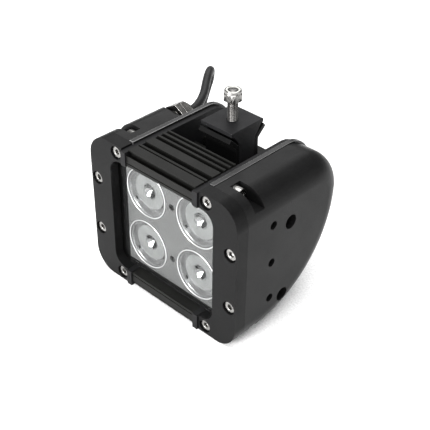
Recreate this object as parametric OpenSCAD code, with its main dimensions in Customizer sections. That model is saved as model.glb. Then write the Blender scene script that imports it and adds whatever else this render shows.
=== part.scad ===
// Square LED fog light: a finned, extruded body between two cast end covers, four
// reflectors behind one lens, a sliding and swivelling single-bolt foot on its back
// edge, and a short supply lead. It stands on the flat undersides of its covers.
// Light axes: X across, Y from the lens backwards, Z up. The working frame has y = 0 on
// the bezel faces and z = 0 at mid-height; place() moves it to the part's own origin.

/* [Body] */
// Width over both end covers
body_w = 111; // [108:0.5:118]
// Height of the end covers
body_h = 92; // [90:1:94]
// Half width of the slatted middle
slat_half = 25.1; // [24:0.1:25.5]
// Thickness of each rubber end seal
seal_t = 3.6; // [3:0.1:3.8]
// Thickness of each rim plate
rim_t = 2.8; // [2.4:0.1:3.2]
// Wall of the cast end covers
wall = 3; // [2.4:0.2:3.2]
// Radius along the outer edges of the covers and bezels
edge_r = 14; // [12:0.5:14.5]
// Depth of the seals' top edges below the rims
seal_sunk = 1; // [0:0.2:1.6]
// Radius of the upper back corner of the covers
corner_r = 24; // [22:0.5:26]

/* [Front] */
// Thickness of the bezels
bezel_t = 8.2; // [7.6:0.1:8.8]
// Half width of the window between the bezels
window_x = 39; // [38.6:0.1:40]
// Half height of the window
window_z = 36; // [35.6:0.1:36.2]
// Thickness of the lens
lens_t = 2.5; // [2:0.1:2.5]
// Rim radius of a reflector
cup_r = 15.5; // [14.5:0.1:15.8]
// Half spacing of the reflectors across
cup_x = 19.6; // [19:0.1:19.9]
// Half spacing of the reflectors in height
cup_z = 17.5; // [17:0.1:18]

/* [Foot] */
// Half length of the saddle along the track
saddle_half = 11.5; // [10:0.5:12]
// Inner width of the saddle
saddle_gap = 12.8; // [12.4:0.1:13.4]
// Height of the foot's top face above mid-height
foot_top = 53.2; // [52:0.2:55]
// Foot bolt thread diameter
bolt_d = 6; // [5:1:6]
// Bare thread between the foot and the lock nut
bolt_bare = 12.1; // [10:0.1:13]

/* [Lead] */
// Outer diameter of the supply lead
lead_d = 5.4; // [5:0.2:6]
// Radius of the stored coil at the middle of its turns
coil_r = 28; // [27:0.5:30]

/* [Hidden] */
$fn = 64;
half_w = body_w / 2;
half_h = body_h / 2;
mid_y = 43.25;
eps = 0.05;
loose = 0.05;
seal_x = slat_half + seal_t;
cover_x = seal_x + rim_t;
corner_y = 63.5;
track_y = 55.5;
track_z = 30;
plate_y = 26;
core_y = 31.5;
ledge_y = 9.4;
chamber = [42, 38];
tray_half = [35.8, 34.9];
tray_y = 8.6;
m4 = 2;
m3 = 1.5;
cap_r = 3.5;
bezel_screws = [[33.7, 41], [50.8, 17.35]];
bezel_screw_y = 4.9;
bezel_screw_len = 10;
cover_screw = [17.65, 41.6];
side_taps = [[27.8, 24.2], [27.8, 0], [27.8, -24.2]];
side_bores = [[41.9, 19.3], [38.4, -28.1]];
tap_r = 2.5;
bore_r = 4.2;
hole_deep = 10;
boss_deep = 12;
boss_wall = 1.8;
gland = [-39.5, 40];
step_y = 50;
step_z = 24;
saddle_t = 2.6;
saddle_out = saddle_gap / 2 + saddle_t;
nut_h = 6;
nut_z = foot_top + bolt_bare;
floor_z = -half_h;
lead_r = lead_d / 2;
tie_t = 0.8;
coil_c = [-27, 112];
coil_low = floor_z + tie_t;
tail_r = 15;
tail_from = 240;
tail_to = 380;
tail_c = coil_c + (coil_r - tail_r) * [cos(tail_from), sin(tail_from)];
plug_at = tail_c + tail_r * [cos(tail_to), sin(tail_to)];
plug_turn = tail_to + 90;
plug_z = floor_z + 6;
// The lead from the gland to the coil, in the working frame
lead_route = [
    [-39.5, 61, 40], [-39.8, 66, 40.2], [-42, 73, 41], [-46.5, 81, 42],
    [-52.5, 89, 43.5], [-58, 96.5, 44.5], [-63, 103.5, 43.5], [-67, 108, 39.5],
    [-69.5, 110, 33], [-71, 108.5, 25], [-71.8, 106, 16], [-72, 104.5, 7],
    [-72, 103.5, -3], [-71.8, 103, -12], [-71, 102.5, -21], [-69, 101.5, -30],
    [-65, 99.5, -37.5], [-59, 96.8, -41.6], [-51, 92.8, -42.5], [-41, 87.75, -42.5]
];

// --- Shared helpers ---

module place() translate([0, -mid_y, half_h]) children();

// Extrudes a (y, z) outline along X from x0 to x1
module along_x(x0, x1) translate([x0, 0, 0]) rotate([90, 0, 90]) linear_extrude(x1 - x0) children();

// Extrudes an (x, z) outline along Y from y0 to y1
module along_y(y0, y1) translate([0, y1, 0]) rotate([90, 0, 0]) linear_extrude(y1 - y0) children();

module rod_x(x0, x1, r) along_x(x0, x1) circle(r);
module rod_y(y0, y1, r, sides = 64) along_y(y0, y1) circle(r, $fn = sides);

module both_ways() {
    children();
    mirror([0, 0, 1]) children();
}

module all_corners() {
    both_ways() children();
    mirror([1, 0, 0]) both_ways() children();
}

// Side outline: flat top and bottom, a small upper back arc and a large lower one
module side_outline(front, top, back_y, r, inset = 0) {
    mid = top - r;
    low_r = mid + half_h;
    low_y = back_y + r - low_r;
    translate([front, mid]) square([back_y - front, r - inset]);
    translate([front, -half_h + inset]) square([low_y - front, low_r - inset]);
    translate([low_y, mid]) intersection() {
        circle(low_r - inset, $fn = 180);
        translate([0, -low_r]) square([2 * low_r, low_r]);
    }
    translate([back_y, mid]) intersection() {
        circle(r - inset, $fn = 96);
        square(2 * r);
    }
    translate([front, mid - eps]) square([back_y - front, 2 * eps]);
}

module quarter_round(r) intersection() {
    circle(r);
    translate([-1, -1]) square(r + 2);
}

// Section of the cover for turning: a rectangle with its outer corner rounded
module turned_section(r, x0, x1, round_r) {
    translate([0, x0]) square([r - round_r, x1 - x0]);
    translate([0, x0]) square([r, x1 - round_r - x0]);
    translate([r - round_r, x1 - round_r]) quarter_round(round_r);
}

// One quarter of a turned disc about an X axis: up is 1 above the axis and -1 below it
module turned_quarter(y, z, up, r, x0, x1, round_r) translate([0, y, z]) intersection() {
    rotate([90, 0, 90]) rotate_extrude($fn = 180) turned_section(r, x0, x1, round_r);
    translate([x0 - 1, 0, up > 0 ? 0 : -2 * r]) cube([x1 - x0 + 2, 2 * r, 2 * r]);
}

// The end cover's outer form, inset by t on every side but the open inner one
module cover_form(t = 0) {
    mid = half_h - corner_r;
    low_r = mid + half_h;
    low_y = corner_y + corner_r - low_r;
    x1 = half_w - t;
    round_r = edge_r - t;
    front = bezel_t + t;
    top = half_h - t;
    x0 = cover_x - (t > 0 ? 1 : 0);
    turned_quarter(corner_y, mid, 1, corner_r - t, x0, x1, round_r);
    turned_quarter(low_y, mid, -1, low_r - t, x0, x1, round_r);
    along_y(front, corner_y) upper_section(mid, top, x0, x1, round_r);
    along_y(front, low_y) mirror([0, 1]) upper_section(-mid, top, x0, x1, round_r);
}

module upper_section(z0, z1, x0, x1, round_r) {
    translate([x0, z0]) square([x1 - round_r - x0, z1 - z0]);
    translate([x0, z0]) square([x1 - x0, z1 - round_r - z0]);
    translate([x1 - round_r, z1 - round_r]) quarter_round(round_r);
}

module chamber_cut(gap) {
    translate([-chamber.x - gap, bezel_t - 2, -chamber.y - gap])
        cube([2 * (chamber.x + gap), core_y - bezel_t + 2, 2 * (chamber.y + gap)]);
}

module window_block(y0, y1, x, z) translate([-x, y0, -z]) cube([2 * x, y1 - y0, 2 * z]);

module cap_screw(len, head_r, head_h, shank_r, key) {
    difference() {
        cylinder(r = head_r, h = head_h);
        translate([0, 0, head_h - 2]) cylinder(r = key, h = 3, $fn = 6);
    }
    translate([0, 0, -len]) cylinder(r = shank_r, h = len + eps);
}

// --- Body ---

// Grooves across the top and bottom bars: [centre, width, depth]
bar_grooves = [[8.6, 1, 1.5], [12.3, 3.5, 6], [21.4, 2.6, 6], [25.4, 2.5, 6], [29.3, 2.1, 6]];

// Section of a bar: its front edge is undercut, and a fine line runs along its face
module slat_bar() difference() {
    polygon([
        [0, 36.5], [0, 43.1], [2.4, 40.2], [3.4, 40.2], [3.4, 44.8], [1.6, 45.3],
        [1.6, half_h], [core_y, half_h], [core_y, 36.5]
    ]);
    translate([-1, 38.1]) square([1.6, 0.6]);
    for (g = bar_grooves)
        translate([g[0] - g[1] / 2, half_h - g[2]]) square([g[1], g[2] + 1]);
}

module housing_outline() {
    slat_bar();
    mirror([0, 1]) slat_bar();
    translate([plate_y, -40]) square([core_y - plate_y, 80]);
    difference() {
        union() {
            translate([core_y - 1, 17]) square([43.5, track_z - 17]);
            translate([core_y - 1, -30]) square([20, 48]);
            intersection() {
                side_outline(0, half_h, corner_y, corner_r, 2.5);
                for (i = [0 : 7]) translate([core_y - 1, -40.5 + 7 * i]) square([60, 2.4]);
            }
        }
        translate([core_y + 2, -27]) square([14, 41]);
        translate([track_y - 3.3, 25.5]) square([6.6, 10]);
        translate([track_y - 5.3, 20]) square([10.6, 5.6]);
    }
}

module housing() place() color([0.13, 0.13, 0.13]) difference() {
    union() {
        along_x(-slat_half, slat_half) housing_outline();
        window_block(ledge_y, core_y, chamber.x, chamber.y);
    }
    window_block(ledge_y - 1, plate_y, 37.5, 35.2);
    all_corners() translate([0, cover_screw[0], cover_screw[1]]) rod_x(14, 26, m4 + loose);
    both_ways() translate([0, 0, cup_z]) rod_y(plate_y - 1, 30, m3 + loose);
    translate([8, 0, 0]) rod_y(plate_y - 1, core_y + 3, 2.5);
}

module end_piece(x0, x1, front, top, back_y, r) difference() {
    along_x(x0, x1) side_outline(front, top, back_y, r);
    window_block(-5, ledge_y, 60, window_z + loose);
    window_block(ledge_y - eps, core_y + 0.2, 60, chamber.y + 0.2);
    both_ways() translate([0, cover_screw[0], cover_screw[1]]) rod_x(x0 - 1, x1 + 1, m4 + loose);
}

module seal_strip() end_piece(slat_half, seal_x - eps, -1, half_h - seal_sunk, 66.5, 17.6);
module rim_plate() end_piece(seal_x, cover_x - eps, bezel_t + eps, half_h + 0.4, 67, 18);

module seal_right() place() color([0.05, 0.05, 0.05]) seal_strip();
module seal_left() place() color([0.05, 0.05, 0.05]) mirror([1, 0, 0]) seal_strip();
module rim_right() place() color([0.16, 0.16, 0.16]) rim_plate();
module rim_left() place() color([0.16, 0.16, 0.16]) mirror([1, 0, 0]) rim_plate();

// Rods around the side holes, one for each boss
module side_rods(gap) {
    for (h = side_taps) translate([0, h[0], h[1]])
        rod_x(half_w - boss_deep, half_w + 1, tap_r + boss_wall + gap);
    for (h = side_bores) translate([0, h[0], h[1]])
        rod_x(half_w - boss_deep, half_w + 1, bore_r + boss_wall + gap);
}

// The bosses that hold the side holes, flush with the cover's side
module side_bosses() difference() {
    intersection() {
        cover_form();
        side_rods(0);
    }
    for (h = side_taps) translate([0, h[0], h[1]]) rod_x(half_w - hole_deep, half_w + 1, tap_r);
    for (h = side_bores) translate([0, h[0], h[1]]) rod_x(half_w - hole_deep, half_w + 1, bore_r);
}

module side_bosses_right() place() color([0.15, 0.15, 0.15]) side_bosses();
module side_bosses_left() place() color([0.15, 0.15, 0.15]) mirror([1, 0, 0]) side_bosses();

// Bosses behind the bezel and cover screws
module cover_bosses() intersection() {
    cover_form();
    union() {
        both_ways() for (s = bezel_screws)
            translate([s[0], 0, s[1]]) rod_y(bezel_t, bezel_screw_y + bezel_screw_len + 2, 3.8);
        both_ways() translate([cover_x, 11, 34.5]) cube([30, 13.3, 12]);
    }
}

module cover_cuts() {
    chamber_cut(0.3);
    both_ways() {
        translate([37, 14, 37.5]) cube([30, 7.3, 20]);
        for (s = bezel_screws) translate([s[0], 0, s[1]])
            rod_y(0, bezel_screw_y + bezel_screw_len + 0.3, m4 + loose);
        translate([0, cover_screw[0], cover_screw[1]]) rod_x(20, 38, m4 + loose);
    }
    side_rods(loose);
}

module cover_right() place() color([0.15, 0.15, 0.15]) difference() {
    union() {
        difference() {
            cover_form();
            cover_form(wall);
        }
        cover_bosses();
    }
    cover_cuts();
}

// The left cover is cut back above and behind, which leaves a wall for the gland
module back_step(t) translate([cover_x - 3, step_y - t, step_z - t]) cube([60, 60, 60]);

module step_edge() difference() {
    translate([cover_x - 3, step_y - 4, half_h - 4]) cube([60, 6, 6]);
    translate([0, step_y - 4, half_h - 4]) rod_x(cover_x - 4, 60 + cover_x, 4);
}

module cover_left() place() color([0.15, 0.15, 0.15]) difference() {
    mirror([1, 0, 0]) difference() {
        union() {
            difference() {
                cover_form();
                difference() {
                    cover_form(wall);
                    back_step(wall);
                }
            }
            cover_bosses();
            translate([-gland[0], 0, gland[1]]) intersection() {
                rod_y(step_y - 7, step_y, 6.5);
                translate([-20, 0, -20]) cube([40, 80, 20 + half_h - gland[1] - 1]);
            }
        }
        back_step(0);
        step_edge();
        cover_cuts();
    }
    translate([gland[0], 0, gland[1]]) rod_y(step_y - 8, step_y + 1, 4.5 + loose);
}

// --- Front ---

module bezel_outline() difference() {
    intersection() {
        translate([28.9, -half_h]) square([60, body_h]);
        union() {
            translate([0, -half_h]) square([half_w - edge_r, body_h]);
            square([body_w, 2 * (half_h - edge_r)], center = true);
            for (s = [-1, 1]) translate([half_w - edge_r, s * (half_h - edge_r)]) circle(edge_r);
        }
    }
    translate([0, -window_z]) square([window_x - 8, 2 * window_z]);
    translate([0, -window_z + 8]) square([window_x, 2 * window_z - 16]);
    for (s = [-1, 1]) translate([window_x - 8, s * (window_z - 8)]) circle(8);
}

module bezel() difference() {
    along_y(0, bezel_t - eps) bezel_outline();
    window_block(5.6, bezel_t + 1, 42.2, window_z);
    both_ways() for (s = bezel_screws) translate([s[0], 0, s[1]]) {
        rod_y(-1, 5, cap_r + 0.5);
        rod_y(4, 10, m4 + loose);
    }
}

module bezel_right() place() color([0.14, 0.14, 0.14]) bezel();
module bezel_left() place() color([0.14, 0.14, 0.14]) mirror([1, 0, 0]) bezel();

module lens() place() color([0.85, 0.9, 0.95, 0.4])
    window_block(5.65, 5.65 + lens_t, 42, window_z - 0.2);

module lens_gasket() place() color([0.04, 0.04, 0.04]) difference() {
    window_block(5.7 + lens_t, ledge_y, 42, window_z - 0.2);
    window_block(0, 20, tray_half.x + 0.1, tray_half.y + 0.1);
}

module reflector_tray() place() color([0.7, 0.7, 0.7]) difference() {
    union() {
        window_block(tray_y, tray_y + 1.2, tray_half.x, tray_half.y);
        both_ways() translate([0, 0, cup_z]) rod_y(tray_y, 24, 3.2);
    }
    all_corners() translate([cup_x, 0, cup_z]) rod_y(0, 20, cup_r + 0.1);
    both_ways() translate([0, 0, cup_z]) {
        rod_y(0, tray_y + 1.2, 2.1);
        rod_y(0, 30, m3 + loose);
    }
}

// A reflector: a rim ring, a stepped bright cup and a small collar at the diode
module cup_section() polygon([
    [5, 14], [4.6, 14], [4.6, 12.6], [7.4, 8], [10.2, 4], [12.6, 1.1], [13.4, 0.2],
    [14.6, 0], [cup_r, 0.6], [cup_r, 2.4], [14.2, 2.4], [11.4, 5], [8.4, 9.2], [5.8, 14]
]);

module reflectors() place() color([0.9, 0.9, 0.9]) all_corners()
    translate([cup_x, tray_y - 0.3, cup_z]) rotate([-90, 0, 0]) rotate_extrude() cup_section();

// A clear collimator: a cone in the cup, with a flat face, a front dimple and a back recess
module collimators() place() color([0.8, 0.82, 0.84, 0.6]) all_corners()
    translate([cup_x, tray_y - 0.3, cup_z]) rotate([-90, 0, 0]) rotate_extrude() polygon([
        [0, 3.6], [3.2, 3.6], [4.6, 2.4], [11.2, 2.4], [9.9, 4], [7.1, 8], [4.6, 12], [3, 12.2],
        [2.2, 11.4], [0, 11.4]
    ]);

module led_board() place() color([0.85, 0.87, 0.85]) difference() {
    window_block(24, 25.6, 36, 33.5);
    both_ways() translate([0, 0, cup_z]) rod_y(20, 30, m3 + loose);
    translate([8, 0, 0]) rod_y(20, 30, 2.5);
}

module leds() place() color([0.95, 0.85, 0.3]) all_corners()
    translate([cup_x, 0, cup_z]) {
        translate([-2.5, 23, -2.5]) cube([5, 1, 5]);
        intersection() {
            translate([0, 23, 0]) sphere(r = 1.9, $fn = 48);
            translate([-3, 20, -3]) cube([6, 3.5, 6]);
        }
    }

module driver_board() place() color([0.1, 0.35, 0.2])
    translate([-22, 38, -22]) cube([44, 1.6, 32]);

module driver_parts() place() color([0.2, 0.2, 0.22]) {
    translate([-14, 39.6, -10]) cube([12, 5.5, 12]);
    for (x = [4, 12]) translate([x, 0, -6]) rod_y(39.6, 45.6, 3.4);
    translate([2, 39.6, -20]) cube([14, 3, 7]);
}

// --- Fasteners ---

module tray_screws() place() color([0.1, 0.1, 0.1]) both_ways()
    translate([0, tray_y, cup_z]) rotate([90, 0, 0]) difference() {
        union() {
            translate([0, 0, -1.2]) cylinder(r = 2, h = 1.2);
            translate([0, 0, -20.5]) cylinder(r = m3, h = 20);
        }
        translate([0, 0, -0.7]) cylinder(r = 1, h = 2, $fn = 6);
    }

module bezel_screws() place() color([0.75, 0.75, 0.75]) all_corners()
    for (s = bezel_screws) translate([s[0], bezel_screw_y, s[1]]) rotate([90, 0, 0])
        cap_screw(bezel_screw_len, cap_r, 4, m4, 1.73);

module cover_screws() place() color([0.75, 0.75, 0.75]) all_corners()
    translate([38.1, cover_screw[0], cover_screw[1]]) rotate([0, 90, 0])
        cap_screw(23, cap_r - 0.1, 4, m4, 1.73);

module cover_washers() place() color([0.7, 0.7, 0.7]) all_corners()
    translate([0, cover_screw[0], cover_screw[1]]) difference() {
        rod_x(37.02, 38.05, cap_r);
        rod_x(36, 39, m4 + loose);
    }

// --- Foot ---

// Closes a half outline with its own mirror image across the track's centre plane
module mirrored_outline(half) {
    n = len(half);
    polygon(concat(half, [for (i = [0 : n - 1]) [-half[n - 1 - i].x, half[n - 1 - i].y]]));
}

module on_track() difference() {
    translate([0, track_y, 0]) along_x(-saddle_half, saddle_half) children();
    translate([0, track_y, 0]) cylinder(r = bolt_d / 2 + 0.15, h = 60);
}

module saddle() place() color([0.12, 0.12, 0.12]) on_track() mirrored_outline([
    [saddle_out, track_z + 0.1], [saddle_out, 42.6], [saddle_gap / 2 + 8.4, 48],
    [saddle_gap / 2 + 6.7, 50], [saddle_gap / 2, 43.4],
    [saddle_gap / 2, track_z + 0.1 + saddle_t]
]);

module foot() place() color([0.1, 0.1, 0.1]) on_track() mirrored_outline([
    [saddle_gap / 2 - 0.1, track_z + saddle_t + 0.15], [saddle_gap / 2 - 0.1, 44.2],
    [11, 50.8], [12.7, 50.9], [12.7, foot_top]
]);

module foot_bolt() place() color([0.78, 0.78, 0.78]) translate([0, track_y, 0]) {
    translate([0, 0, 21.3]) cylinder(r = 5.77, h = 4, $fn = 6);
    translate([0, 0, 21.3]) cylinder(r = bolt_d / 2, h = nut_z + nut_h - 21.3 - 0.2);
}

module foot_nut() place() color([0.8, 0.8, 0.8]) translate([0, track_y, nut_z]) difference() {
    union() {
        intersection() {
            rotate([0, 0, 12]) cylinder(r = 5.77, h = 4.6, $fn = 6);
            rotate_extrude() polygon([
                [0, 0], [5.1, 0], [5.8, 0.5], [5.8, 3.9], [5.1, 4.6], [0, 4.6]
            ]);
        }
        translate([0, 0, 4]) cylinder(r = 4.9, h = nut_h - 4);
    }
    translate([0, 0, -1]) cylinder(r = bolt_d / 2 + loose, h = 10);
    translate([0, 0, 4.2]) cylinder(r = 4.3, h = 10);
}

module nut_ring() place() color([0.85, 0.85, 0.8]) translate([0, track_y, nut_z + 4.2]) difference() {
    cylinder(r = 4.25, h = 1.6);
    translate([0, 0, -1]) cylinder(r = bolt_d / 2 + loose, h = 5);
}

// --- Lead ---

module at_gland() place() translate([gland[0], 0, gland[1]]) children();

module gland_body() at_gland() color([0.7, 0.7, 0.7]) difference() {
    union() {
        along_y(step_y + 0.02, step_y + 3.6) rotate(30) circle(r = 8.66, $fn = 6);
        rod_y(step_y - 7, step_y + 0.5, 4.5);
        rod_y(step_y + 3, step_y + 6, 6.2);
    }
    rod_y(30, 70, 3.4);
}

module gland_nut() at_gland() color([0.75, 0.75, 0.75]) translate([0, step_y + 3.7, 0])
    rotate([-90, 0, 0]) difference() {
        intersection() {
            rotate([0, 0, 30]) cylinder(r = 8.66, h = 7.3, $fn = 6);
            rotate_extrude() polygon([
                [0, 0], [7.9, 0], [8.4, 0.6], [8.4, 3.4], [7.6, 4.6], [6.2, 6.4], [5, 7.3], [0, 7.3]
            ]);
        }
        translate([0, 0, -1]) cylinder(r = 6.25, h = 3.4);
        cylinder(r = 3.4, h = 20);
    }

module gland_seal() at_gland() color([0.06, 0.06, 0.06]) rod_y(step_y - 7, step_y + 11, 3.35);

// Rings of a round tube along a list of points
module tube(points, r, sides = 8) {
    n = len(points);
    function unit(v) = v / norm(v);
    function run(i) = unit(points[min(i + 1, n - 1)] - points[max(i - 1, 0)]);
    function side(d) = unit(cross(d, abs(d[2]) > 0.9 ? [1, 0, 0] : [0, 0, 1]));
    function frames(i, s) = i == n ? [] : let (
        d = run(i), a = unit(s - (s * d) * d)
    ) concat([[a, cross(d, a)]], frames(i + 1, a));
    fr = frames(0, side(run(0)));
    rings = [for (i = [0 : n - 1]) for (k = [0 : sides - 1])
        points[i] + r * (cos(360 * k / sides) * fr[i][0] + sin(360 * k / sides) * fr[i][1])];
    walls = [for (i = [0 : n - 2]) for (k = [0 : sides - 1]) let (m = (k + 1) % sides)
        [i * sides + k, (i + 1) * sides + k, (i + 1) * sides + m, i * sides + m]];
    first = [for (k = [0 : sides - 1]) k];
    last = [for (k = [0 : sides - 1]) (n - 1) * sides + sides - 1 - k];
    polyhedron(rings, concat(walls, [first, last]));
}

tail_points = [for (i = [0 : 10]) let (a = tail_from + (tail_to - tail_from) * i / 10)
    [tail_c.x + tail_r * cos(a), tail_c.y + tail_r * sin(a),
     coil_low + 3 * lead_r + (plug_z - coil_low - 3 * lead_r) * i / 10]];

module cable() place() color([0.06, 0.06, 0.06]) tube(lead_route, lead_r);

module cable_coil() place() color([0.06, 0.06, 0.06]) translate([coil_c.x, coil_c.y, coil_low])
    rotate_extrude($fn = 96) translate([coil_r - lead_r, 0]) square([lead_d, 2 * lead_d]);

module cable_tail() place() color([0.06, 0.06, 0.06]) tube(tail_points, lead_r);

module cable_tie() place() color([0.1, 0.1, 0.1])
    translate([coil_c.x, coil_c.y, floor_z]) rotate([0, 0, 60])
        translate([coil_r, 1.8, 0]) rotate([90, 0, 0]) linear_extrude(3.6) difference() {
            translate([-lead_r - 0.9, 0]) square([lead_d + 1.8, 2 * lead_d + 2 * tie_t]);
            translate([-lead_r - 0.1, tie_t]) square([lead_d + 0.2, 2 * lead_d]);
        }

module at_plug() place() translate([plug_at.x, plug_at.y, plug_z]) rotate([0, 0, plug_turn]) children();

module plug_body() at_plug() color([0.12, 0.12, 0.12]) difference() {
    union() {
        translate([3, -7, -6]) cube([16, 14, 12]);
        translate([18, -5.5, -4.5]) cube([8, 11, 9]);
        translate([9, -2.5, 5]) cube([10, 5, 2.4]);
    }
    translate([19, -4.3, -3.3]) cube([10, 8.6, 6.6]);
}

module plug_seal() at_plug() color([0.5, 0.2, 0.15]) rotate([0, 90, 0]) cylinder(r = 4.2, h = 2.98);

module plug_pins() at_plug() color([0.8, 0.7, 0.45])
    for (s = [-1, 1]) translate([19, 2.3 * s - 0.8, -0.8]) cube([5.5, 1.6, 1.6]);

housing();
seal_left();
seal_right();
rim_left();
rim_right();
cover_left();
cover_right();
side_bosses_left();
side_bosses_right();
bezel_left();
bezel_right();
lens();
lens_gasket();
reflector_tray();
reflectors();
collimators();
led_board();
leds();
driver_board();
driver_parts();
tray_screws();
bezel_screws();
cover_screws();
cover_washers();
saddle();
foot();
foot_bolt();
foot_nut();
nut_ring();
gland_body();
gland_nut();
gland_seal();
cable();
cable_coil();
cable_tail();
cable_tie();
plug_body();
plug_seal();
plug_pins();
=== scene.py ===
"""Looks of a square LED fog light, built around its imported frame. All lengths are metres."""

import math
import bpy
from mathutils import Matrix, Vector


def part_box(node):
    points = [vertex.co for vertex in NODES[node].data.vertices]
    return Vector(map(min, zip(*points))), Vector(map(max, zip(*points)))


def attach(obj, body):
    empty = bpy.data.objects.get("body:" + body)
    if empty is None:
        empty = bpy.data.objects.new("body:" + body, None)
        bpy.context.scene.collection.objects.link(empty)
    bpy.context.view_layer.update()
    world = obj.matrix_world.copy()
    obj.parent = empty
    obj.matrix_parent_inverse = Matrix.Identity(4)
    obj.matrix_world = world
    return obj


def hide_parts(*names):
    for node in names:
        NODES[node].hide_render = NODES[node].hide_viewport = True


bl_info = {
    "name": "LED Fog Light",
    "version": (1, 0, 0),
    "blender": (4, 5, 0),
    "location": "3D View > Sidebar > Fog Light",
    "description": "Makes the surfaces, optics, fasteners and lead of a square LED fog light",
    "category": "Object",
}

import bmesh
import bpy
from bpy.props import FloatProperty, FloatVectorProperty, IntProperty, PointerProperty
from mathutils import Matrix, Vector

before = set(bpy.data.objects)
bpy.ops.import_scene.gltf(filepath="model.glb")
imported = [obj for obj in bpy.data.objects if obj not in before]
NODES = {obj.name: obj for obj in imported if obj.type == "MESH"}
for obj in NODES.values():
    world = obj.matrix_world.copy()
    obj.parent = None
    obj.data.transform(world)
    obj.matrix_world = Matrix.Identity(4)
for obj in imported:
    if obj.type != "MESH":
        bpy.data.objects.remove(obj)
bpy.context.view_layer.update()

MM = 0.001
# The drawing's zero: y = 0 on the bezel faces and z = 0 at mid-height
MID_DEPTH = 0.04325
HALF_HEIGHT = 0.046

# How far a drilled boss is swelled into its cover, so that the two join without a hairline
BOSS_LAP = 0.12 * MM
# Edges sharper than this are rounded, and by this share of the width near a fine hole
SHARP_EDGE = math.radians(32)
FINE_SHARE = 0.25
# A metric M4 screw, and the corner radius of a 10 mm hexagon
M4_RADIUS = 2 * MM
M4_HEAD_RADIUS = 3.5 * MM
M4_HEAD_HEIGHT = 4 * MM
M4_SOCKET = 1.73 * MM
M4_SOCKET_DEPTH = 2 * MM
HEX_CORNER = 5.77 * MM

# The lead's free stretch, from the gland to where its coil begins
LEAD_ROUTE = [
    (-0.0395, 0.061, 0.040), (-0.0398, 0.066, 0.0402), (-0.042, 0.073, 0.041),
    (-0.0465, 0.081, 0.042), (-0.0525, 0.089, 0.0435), (-0.058, 0.0965, 0.0445),
    (-0.063, 0.1035, 0.0435), (-0.067, 0.108, 0.0395), (-0.0695, 0.110, 0.033),
    (-0.071, 0.1085, 0.025), (-0.0718, 0.106, 0.016), (-0.072, 0.1045, 0.007),
    (-0.072, 0.1035, -0.003), (-0.0718, 0.103, -0.012), (-0.071, 0.1025, -0.021),
    (-0.069, 0.1015, -0.030), (-0.065, 0.0995, -0.0375), (-0.059, 0.0968, -0.0416),
    (-0.051, 0.0928, -0.0425), (-0.041, 0.08775, -0.0425),
]


def drawn(x, y, z):
    """A point of the drawing, moved to the part's own origin."""
    return Vector((x, y - MID_DEPTH, z + HALF_HEIGHT))


def middle(node):
    """The middle of a frame node's box."""
    low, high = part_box(node)
    return (Vector(low) + Vector(high)) / 2


# --- Settings ---------------------------------------------------------------------------


class FogLightSizes(bpy.types.PropertyGroup):
    edge: FloatProperty(
        name="Machined edge", description="Rounding of sharp extruded edges",
        default=0.22 * MM, min=0.05 * MM, max=0.5 * MM, unit="LENGTH",
    )
    cast_edge: FloatProperty(
        name="Cast edge", description="Rounding of the cast covers' and bezels' edges",
        default=0.6 * MM, min=0.1 * MM, max=1.5 * MM, unit="LENGTH",
    )
    pitch: FloatProperty(
        name="Thread pitch", description="Pitch of the foot bolt's thread",
        default=1.0 * MM, min=0.5 * MM, max=1.5 * MM, unit="LENGTH",
    )
    thread_depth: FloatProperty(
        name="Thread depth", description="Depth of the foot bolt's thread",
        default=0.55 * MM, min=0.2 * MM, max=0.7 * MM, unit="LENGTH",
    )
    petals: IntProperty(
        name="Petals", description="Facets round each optic's dimple", default=8, min=4, max=24,
    )
    petal_depth: FloatProperty(
        name="Petal depth", description="Depth of the dimple's facets",
        default=0.35 * MM, min=0, max=0.8 * MM, unit="LENGTH",
    )
    lead_turns: IntProperty(
        name="Lead turns", description="Turns in the stored coil", default=2, min=1, max=4,
    )
    lead_diameter: FloatProperty(
        name="Lead diameter", description="Outer diameter of the supply lead",
        default=5.4 * MM, min=4 * MM, max=8 * MM, unit="LENGTH",
    )


class FogLightColours(bpy.types.PropertyGroup):
    coat: FloatVectorProperty(
        name="Coat", description="Powder coat on the castings",
        default=(0.006, 0.006, 0.0061), subtype="COLOR", min=0, max=1,
    )
    extrusion: FloatVectorProperty(
        name="Extrusion", description="Black finish on the extruded body",
        default=(0.008, 0.008, 0.0074), subtype="COLOR", min=0, max=1,
    )
    rubber: FloatVectorProperty(
        name="Rubber", description="Seals, foot and lead",
        default=(0.007, 0.007, 0.0075), subtype="COLOR", min=0, max=1,
    )
    tray: FloatVectorProperty(
        name="Tray", description="Satin silver between the reflectors",
        default=(0.50, 0.50, 0.495), subtype="COLOR", min=0, max=1,
    )
    floor: FloatVectorProperty(
        name="Floor", description="Studio floor", default=(0.93, 0.93, 0.93),
        subtype="COLOR", min=0, max=1,
    )


class FogLightStudio(bpy.types.PropertyGroup):
    azimuth: FloatProperty(
        name="Azimuth", description="Camera's turn to the right of the front",
        default=math.radians(43.26), subtype="ANGLE",
    )
    elevation: FloatProperty(
        name="Elevation", description="Camera's height angle",
        default=math.radians(35.52), subtype="ANGLE",
    )
    roll: FloatProperty(
        name="Roll", description="Camera's turn about its own axis",
        default=math.radians(0.85), subtype="ANGLE",
    )
    distance: FloatProperty(
        name="Distance", description="From the camera to its target",
        default=0.4992, unit="LENGTH",
    )
    lens: FloatProperty(name="Lens", description="Focal length in mm", default=74.73)
    target: FloatVectorProperty(
        name="Target", description="Point the camera looks at, on the drawing",
        default=(0.00738, 0.035, 0.00295), subtype="XYZ", unit="LENGTH",
    )


# --- Materials --------------------------------------------------------------------------

MADE = {}


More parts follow.
